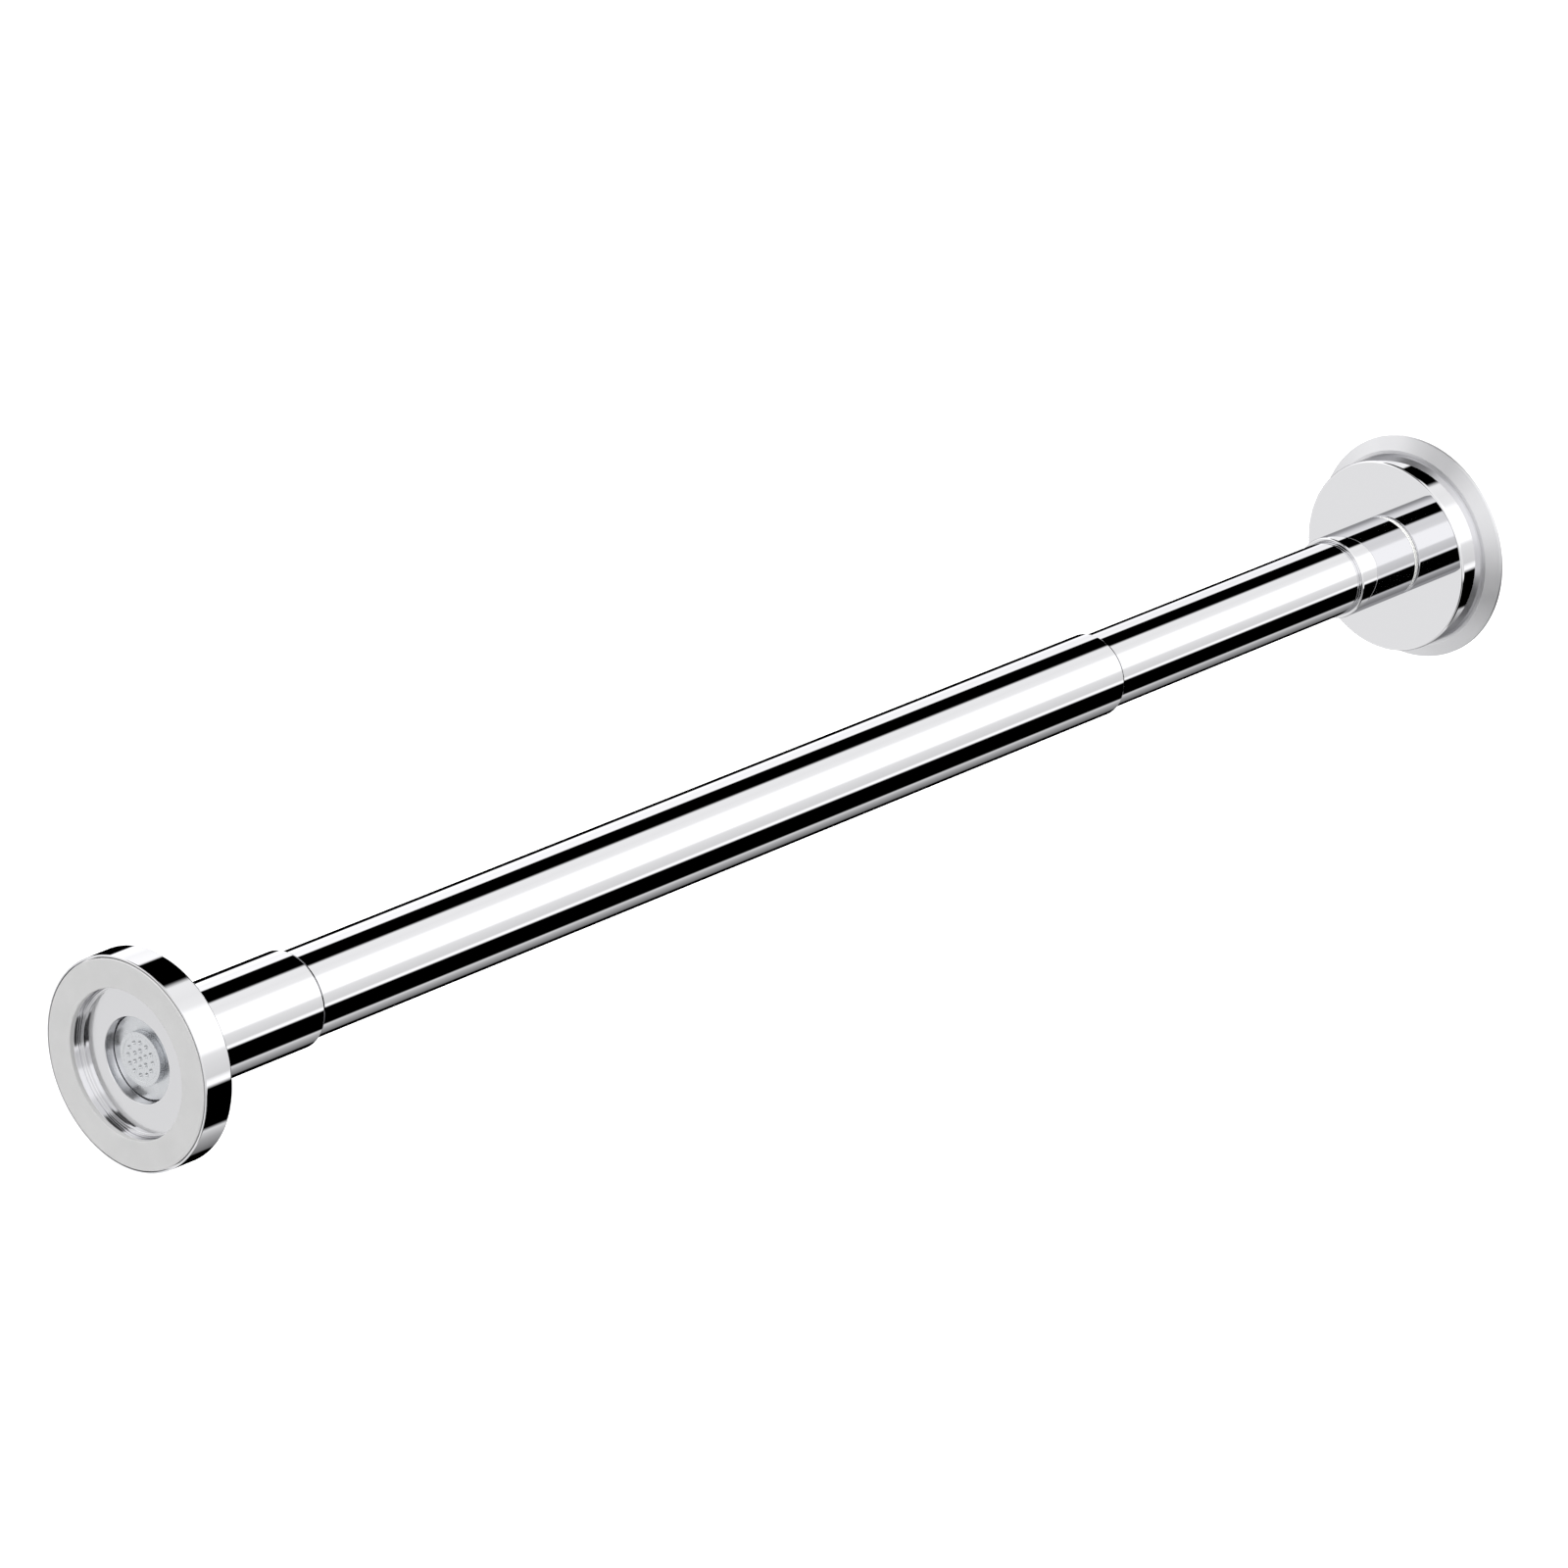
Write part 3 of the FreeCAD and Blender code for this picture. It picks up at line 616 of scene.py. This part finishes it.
class BAR_OT_left_screw(bpy.types.Operator):
    """Wide low screw head with a raised rim and rings of round dimples, and its shank."""

    bl_idname = "bar.left_screw"
    bl_label = "Left foot screw"

    ring_shares = ((0.0, 1), (0.31, 6), (0.61, 12))  # radius, as a share of the head's, and count
    rim_share = 0.86  # inner radius of the raised rim, as a share of the head's
    rim_height = 0.12 * MM
    rim_slope = 0.25 * MM
    head_edge = 0.4 * MM
    tip_edge = 0.5 * MM
    face_rows = 90

    def execute(self, context):
        sizes = context.scene.bar_sizes
        top_x, tip_x, radius = extent("left_foot_screw")
        seat_x, _, _ = extent("left_foot_washer")
        shank = sizes.foot_screw_shank
        face = [(top_x, radius * i / self.face_rows, 0) for i in range(self.face_rows)]
        corners = face + [
            (top_x, radius, self.head_edge), (seat_x, radius, sizes.fine_edge), (seat_x, shank, 0),
            (tip_x, shank, self.tip_edge), (tip_x, 0, 0),
        ]
        centres = [
            (share * radius, math.pi / 2 + 2 * math.pi * i / count)
            for share, count in self.ring_shares for i in range(count)
        ]

        def dimpled(x, r, t):
            """Each dimple sinks the face by depth (1 - (d / radius)^2)^1.5 inside its circle, and the
            face inside the rim lies a little lower than the rim."""
            sunk = self.rim_height * np.clip((self.rim_share * radius - r) / self.rim_slope, 0, 1)
            for pitch_r, angle in centres:
                d2 = r**2 + pitch_r**2 - 2 * r * pitch_r * np.cos(t - angle)
                inside = np.clip(1 - d2 / sizes.dimple_radius**2, 0, 1)
                sunk = sunk + sizes.dimple_depth * inside**1.5
            return np.where(x < top_x + TOUCH, x + sunk, x), r

        turned_piece("left_screw", corners, stippled_zinc(), "left_foot",
                     ["left_foot_screw"], closed=False, shape=dimpled)
        return {"FINISHED"}


class BAR_OT_jack_stem(bpy.types.Operator):
    """Shouldered stem with a real helical thread."""

    bl_idname = "bar.jack_stem"
    bl_label = "Jack stem"

    rows_per_pitch = 10

    def execute(self, context):
        sizes = context.scene.bar_sizes
        start_x, end_x, shoulder_r = extent("jack_stem")
        thread_x = start_x + sizes.stem_shoulder
        radius = sizes.thread_radius
        pitch = sizes.thread_pitch
        rows = int((end_x - thread_x) / pitch * self.rows_per_pitch)
        thread = [(x, radius, 0) for x in np.linspace(thread_x + TOUCH, end_x - TOUCH, rows)]
        corners = [
            (start_x, 0, 0), (start_x, shoulder_r, sizes.fine_edge),
            (thread_x, shoulder_r, sizes.foot_edge), (thread_x, radius, 0),
        ] + thread + [(end_x, radius - sizes.thread_depth, 0), (end_x, 0, 0)]

        def helical(x, r, t):
            """The radius falls by a triangle wave of x / pitch - t / (2 pi), which runs out over one
            pitch at the shoulder and is cut back at the tip."""
            wave = np.abs(((x / pitch - t / (2 * np.pi)) % 1) * 2 - 1)
            fade = np.clip((x - thread_x) / pitch, 0, 1)
            tip = np.clip(1 - (end_x - x) / pitch, 0, 1) * sizes.thread_depth
            on_thread = (x > thread_x) & (r > radius - TOUCH)
            depth = np.maximum(sizes.thread_depth * wave * fade, tip)
            return x, np.where(on_thread, r - depth, r)

        turned_piece("threaded_stem", corners, zinc_plate(), "left_foot",
                     ["jack_stem"], closed=False, shape=helical)
        return {"FINISHED"}


def grub_cutter(screw, surface_r):
    """Cutter over a grub screw: its angle and radius come from the screw's box."""
    low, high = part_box(screw)
    centre = (low + high) / 2
    angle = math.atan2(centre.z, centre.y)
    depth = math.hypot(centre.y, centre.z)
    return radial_rod(centre.x, depth, surface_r + OVERRUN, (high.x - low.x) / 2 + TOUCH, angle)


class BAR_OT_left_collar(bpy.types.Operator):
    """Chrome collar that turns to jack the bar tight."""

    bl_idname = "bar.left_collar"
    bl_label = "Left collar"

    def execute(self, context):
        sizes = context.scene.bar_sizes
        start_x, end_x, radius = extent("left_collar")
        _, nut_end_x, nut_r = extent("collar_nut")
        _, _, tube_r = extent("outer_tube")
        bore_r = tube_r + sizes.running_clearance
        collar = turned_piece("jack_collar", [
            (start_x, nut_r, sizes.fine_edge), (start_x, radius, sizes.collar_edge),
            *lead_corners(end_x, radius), (end_x, bore_r, 0), (nut_end_x, bore_r, 0),
            (nut_end_x, nut_r, 0),
        ], polished_chrome(), "left_collar", ["left_collar"])
        cut_hole(collar, *grub_cutter("collar_grub_screw", radius))
        return {"FINISHED"}


class BAR_OT_tubes(bpy.types.Operator):
    """The two telescoping tubes."""

    bl_idname = "bar.tubes"
    bl_label = "Tubes"

    def execute(self, context):
        sizes = context.scene.bar_sizes
        outer_x, mouth_x, outer_r = extent("outer_tube")
        outer_bore = outer_r - sizes.outer_wall
        turned_piece("outer_rail", [
            (outer_x, outer_bore, 0), (outer_x, outer_r, sizes.fine_edge),
            *lead_corners(mouth_x, outer_r), (mouth_x, outer_bore, 0),
        ], polished_chrome(), "outer", ["outer_tube"])
        inner_x, end_x, inner_r = extent("inner_tube")
        turned_piece("inner_rail", ring_corners(
            inner_x, end_x, inner_r - sizes.inner_wall, inner_r, sizes.fine_edge
        ), polished_chrome(), "inner", ["inner_tube"])
        return {"FINISHED"}


class BAR_OT_right_collar(bpy.types.Operator):
    """Chrome collar at the right foot, and the pale washer it turns against."""

    bl_idname = "bar.right_collar"
    bl_label = "Right collar and washer"

    def execute(self, context):
        sizes = context.scene.bar_sizes
        start_x, end_x, radius = extent("right_collar")
        _, _, tube_r = extent("inner_tube")
        collar = turned_piece("foot_collar", ring_corners(
            start_x, end_x, tube_r, radius, sizes.collar_edge, sizes.fine_edge
        ), polished_chrome(), "inner", ["right_collar"])
        cut_hole(collar, *grub_cutter("right_collar_screw", radius))
        washer_x, cup_x, washer_r = extent("right_thrust_washer")
        turned_piece("foot_washer", ring_corners(
            washer_x, cup_x, sizes.spigot + sizes.hole_clearance, washer_r, sizes.fine_edge
        ), moulded_acetal(), "right_foot", ["right_thrust_washer"])
        return {"FINISHED"}


class BAR_OT_right_cup(bpy.types.Operator):
    """Chrome cup of the right foot, with a plain polished disc towards the bar."""

    bl_idname = "bar.right_cup"
    bl_label = "Right cup"

    def execute(self, context):
        sizes = context.scene.bar_sizes
        face_x, back_x, radius = extent("right_flange")
        cavity_x = face_x + sizes.cup_web
        turned_piece("right_cup", [
            (face_x, sizes.spigot, sizes.fine_edge), (face_x, radius, sizes.foot_edge),
            (back_x, radius, sizes.fine_edge), (back_x, sizes.cup_cavity, 0),
            (cavity_x, sizes.cup_cavity, 0), (cavity_x, sizes.spigot, 0),
        ], polished_chrome(), "right_foot", ["right_flange"])
        return {"FINISHED"}


class BAR_OT_base_plate(bpy.types.Operator):
    """Wider plate behind the right cup, with a sloped edge."""

    bl_idname = "bar.base_plate"
    bl_label = "Base plate"

    def execute(self, context):
        sizes = context.scene.bar_sizes
        boss_x, back_x, radius = extent("right_base_plate")
        _, front_x, _ = extent("right_flange")
        turned_piece("base_plate", [
            (boss_x, 0, 0), (boss_x, sizes.plate_boss, sizes.fine_edge),
            (front_x, sizes.plate_boss, 0), (front_x, sizes.plate_step, sizes.fine_edge),
            (back_x - sizes.plate_rim, radius, 2 * sizes.fine_edge),
            (back_x, radius, sizes.fine_edge), (back_x, 0, 0),
        ], blasted_chrome(), "right_foot", ["right_base_plate"], closed=False)
        return {"FINISHED"}


class BAR_OT_right_grip(bpy.types.Operator):
    """Grip pad behind the base plate, with rings of shallow grooves in its wall face."""

    bl_idname = "bar.right_grip"
    bl_label = "Right grip pad"

    row_share = 0.1  # distance between rows on the wall face, in groove pitches
    groove_edge = 0.2  # half the groove's width at the face, in groove pitches
    groove_side = 0.08  # width of its sloped side, in groove pitches

    def execute(self, context):
        sizes = context.scene.bar_sizes
        front_x, wall_x, radius = extent("right_grip_pad")
        pitch = sizes.pad_groove_pitch
        rows = int(radius / (self.row_share * pitch))
        wall_face = [(wall_x, radius * (1 - i / rows), 0) for i in range(1, rows)]
        corners = [
            (front_x, 0, 0), (front_x, radius, sizes.fine_edge),
            (wall_x, radius, 2 * sizes.fine_edge), *wall_face, (wall_x, 0, 0),
        ]

        def grooved(x, r, t):
            """The wall face sinks where |frac(r / pitch) - 0.5| is under groove_edge, over sides
            groove_side wide, and stays flat near the rim and the middle."""
            phase = np.abs(r / pitch % 1 - 0.5)
            groove = np.clip((self.groove_edge - phase) / self.groove_side, 0, 1)
            kept = (r < radius - pitch / 2) & (r > pitch) & (x > wall_x - TOUCH)
            return np.where(kept, x - sizes.pad_groove * groove, x), r

        turned_piece("right_grip", corners, soft_grip(), "right_foot",
                     ["right_grip_pad"], closed=False, shape=grooved)
        return {"FINISHED"}


class BAR_OT_inner_works(bpy.types.Operator):
    """Finishes for the CAD pieces inside the bar, whose shapes are kept."""

    bl_idname = "bar.inner_works"
    bl_label = "Inner works"

    def execute(self, context):
        finishes = {
            "zinc_plated_steel": zinc_plate(),
            "brass": machined_brass(),
            "black_nylon": moulded_nylon(),
            "white_acetal": moulded_acetal(),
            "black_rubber": moulded_rubber(),
        }
        for part in frame["record"]["subparts"]:
            node = frame["nodes"][part["node"]]
            if node.hide_render:
                continue
            node.data.materials.clear()
            node.data.materials.append(finishes[part["material_slot"]])
        return {"FINISHED"}


# Studio

# The studio wraps the bar with bright and dark strips that run along it. Each stop is the angle
# about X, from the front (-Y) up over the top, and the strip's linear brightness there. At the
# studio's right end, shadow on the low far side draws a thin dark line along both edges of a tube.
STRIPS = (
    (-180, 0.0), (-113, 0.0), (-110, 0.28), (-100, 0.36), (-88, 0.45), (-79, 0.62), (-75, 0.76),
    (-71, 0.0), (-25, 0.0), (-21.5, 1.05), (-18, 1.0), (-14, 0.64), (0, 0.70), (8, 0.76), (13, 1.1),
    (53, 1.1), (60, 0.84), (72, 0.80), (87, 0.84), (92, 0.0), (128, 0.0), (131, 1.1), (148, 1.2),
    (160, 1.6), (168, 2.2), (171.5, 0.0), (180, 0.0),
)
# In the studio's middle and towards its left end the low far side is an even grey, so that the
# polished faces that look that way are too.
FACE_STRIPS = (
    (-180, 0.74), (-113, 0.74), (-104, 0.40), (-88, 0.45), (-79, 0.62), (-75, 0.76),
    (-71, 0.0), (-25, 0.0), (-21.5, 1.05), (-18, 1.0), (-14, 0.64), (0, 0.70), (8, 0.76), (13, 1.1),
    (53, 1.1), (60, 0.84), (72, 0.80), (87, 0.84), (92, 0.0), (128, 0.0), (131, 1.1), (148, 1.1),
    (160, 0.9), (172, 0.74), (180, 0.74),
)
# These are X of a direction, from +1 at the right end to -1 at the left. The right end turns into
# the middle over the first pair and the middle into the left part over the second. In the left
# part the strips are calm, then full strength past the third pair, then calm past the fourth.
MIDDLE_START = (0.56, 0.46)
LEFT_START = (-0.15, -0.28)
FULL_START = (-0.55, -0.62)
FULL_END = (-0.83, -0.92)
CALM_FLOOR = 0.45  # brightness of a black strip where the strips are calm
WHITE = (1.0, 1.0, 1.0, 1.0)

SENSOR_WIDTH_MM = 36.0
CLIP_END = 100.0
FLOOR_HALF = 12.0
KEY_SIZE = 4.0
KEY_HEIGHT = 3.0


def strip_ramp(tree, share, strips):
    """A colour ramp over angle, from -180 to 180 degrees."""
    ramp = add_node(tree, "ShaderNodeValToRGB", {"Fac": share})
    stops = ramp.color_ramp.elements
    while len(stops) < len(strips):
        stops.new(0.5)
    for stop, (angle, value) in zip(stops, strips):
        stop.position = (angle + 180) / 360
    for stop, (angle, value) in zip(stops, strips):
        stop.color = (value, value, value, 1.0)
    return ramp.outputs["Color"]


def studio_world(strength):
    """Light all round whose brightness depends on the angle about the bar's axis.

    The right end has the STRIPS, and the rest the FACE_STRIPS. Where these are calm, they are
    softened to CALM_FLOOR + (1 - CALM_FLOOR) * strip.
    """
    world = bpy.data.worlds.new("studio")
    world.use_nodes = True
    tree = world.node_tree
    direction = add_node(tree, "ShaderNodeTexCoord").outputs["Generated"]
    part = add_node(tree, "ShaderNodeSeparateXYZ", {0: direction})
    x = part.outputs["X"]
    front = add_node(tree, "ShaderNodeMath", {0: part.outputs["Y"], 1: -1.0}, operation="MULTIPLY")
    angle = add_node(tree, "ShaderNodeMath", {
        0: part.outputs["Z"], 1: front.outputs[0]}, operation="ARCTAN2")

    def past(value, start, end):
        """0 before start, 1 after end, and even between."""
        return spread(tree, value, start, end, 0.0, 1.0)

    def mix(share, first, second):
        """A colour mix. The Mix node's colours are its inputs 6 and 7 and its output 2."""
        inputs = {0: share, 6: first, 7: second}
        return add_node(tree, "ShaderNodeMix", inputs, data_type="RGBA").outputs[2]

    turn = past(angle.outputs[0], -math.pi, math.pi)
    along = strip_ramp(tree, turn, STRIPS)
    facing = strip_ramp(tree, turn, FACE_STRIPS)
    calm = mix(CALM_FLOOR, facing, WHITE)
    left = mix(past(x, *FULL_END), mix(past(x, *FULL_START), calm, facing), calm)
    right = mix(past(x, *MIDDLE_START), along, facing)
    shine = tree.nodes["Background"]
    tree.links.new(mix(past(x, *LEFT_START), right, left), shine.inputs["Color"])
    shine.inputs["Strength"].default_value = strength
    return world


class BAR_OT_stage(bpy.types.Operator):
    """Camera, plain pale floor and soft studio light."""

    bl_idname = "bar.stage"
    bl_label = "Stage"

    def execute(self, context):
        scene = context.scene
        stage = scene.bar_stage
        low, high = (Vector(corner) for corner in CAD_BOX)
        middle = (low + high) / 2
        a = stage.azimuth
        e = stage.elevation
        right = Vector((math.cos(a), math.sin(a), 0))
        back = Vector((math.sin(a) * math.cos(e), -math.cos(a) * math.cos(e), math.sin(e)))
        up = back.cross(right)
        camera_data = bpy.data.cameras.new("camera")
        camera_data.lens = stage.lens
        camera_data.sensor_width = SENSOR_WIDTH_MM
        camera_data.clip_end = CLIP_END
        camera = bpy.data.objects.new("camera", camera_data)
        turn = Matrix((right, up, back)).transposed().to_4x4()
        eye = middle - right * stage.aim_left + back * stage.distance
        camera.matrix_world = Matrix.Translation(eye) @ turn
        scene.collection.objects.link(camera)
        scene.camera = camera
        scene.world = studio_world(stage.studio)
        scene.view_settings.view_transform = "Standard"
        self.add_floor(scene, stage, middle)
        self.add_key(scene, stage, middle)
        return {"FINISHED"}

    def add_floor(self, scene, stage, middle):
        """A plain square of floor, which mirrors in nothing so that the strips stay clean."""
        z = -stage.floor_drop
        points = [
            (middle.x + sx * FLOOR_HALF, middle.y + sy * FLOOR_HALF, z)
            for sx, sy in ((-1, -1), (1, -1), (1, 1), (-1, 1))
        ]
        mesh = bpy.data.meshes.new("floor")
        mesh.from_pydata(points, [], [(0, 1, 2, 3)])
        floor = bpy.data.objects.new("floor", mesh)
        material, _, shader, _ = new_finish("painted_floor")
        shader.inputs["Base Color"].default_value = rgba(scene.bar_colours.floor)
        shader.inputs["Roughness"].default_value = 0.9
        shader.inputs["Specular IOR Level"].default_value = 0.1
        mesh.materials.append(material)
        scene.collection.objects.link(floor)
        floor.visible_glossy = False

    def add_key(self, scene, stage, middle):
        """One very large soft light overhead, which lights the matt pieces and the floor."""
        light_data = bpy.data.lights.new("key", "AREA")
        light_data.shape = "SQUARE"
        light_data.size = KEY_SIZE
        light_data.energy = stage.key
        light = bpy.data.objects.new("key", light_data)
        light.matrix_world = Matrix.Translation(middle + Vector((0, 0, KEY_HEIGHT)))
        light.visible_glossy = False
        light.visible_camera = False
        scene.collection.objects.link(light)


PIECES = (
    BAR_OT_left_cup, BAR_OT_left_grip, BAR_OT_left_hub, BAR_OT_left_screw, BAR_OT_jack_stem,
    BAR_OT_left_collar, BAR_OT_tubes, BAR_OT_right_collar, BAR_OT_right_cup, BAR_OT_base_plate,
    BAR_OT_right_grip, BAR_OT_inner_works, BAR_OT_stage,
)


class BAR_PT_panel(bpy.types.Panel):
    """Lists the operators that build the bar and its stage."""

    bl_idname = "BAR_PT_panel"
    bl_label = "Security Bar"
    bl_space_type = "VIEW_3D"
    bl_region_type = "UI"
    bl_category = "Security Bar"

    def draw(self, context):
        for piece in PIECES:
            self.layout.operator(piece.bl_idname)


GROUPS = {
    "bar_sizes": SecurityBarSizes,
    "bar_colours": SecurityBarColours,
    "bar_stage": SecurityBarStage,
}


def register():
    for kind in (*GROUPS.values(), *PIECES, BAR_PT_panel):
        bpy.utils.register_class(kind)
    for name, group in GROUPS.items():
        setattr(bpy.types.Scene, name, bpy.props.PointerProperty(type=group))


def unregister():
    for name in GROUPS:
        delattr(bpy.types.Scene, name)
    for kind in reversed((*GROUPS.values(), *PIECES, BAR_PT_panel)):
        bpy.utils.unregister_class(kind)


def main():
    register()
    for piece in PIECES:
        group, name = piece.bl_idname.split(".")
        getattr(getattr(bpy.ops, group), name)()


if __name__ == "__main__":
    main()
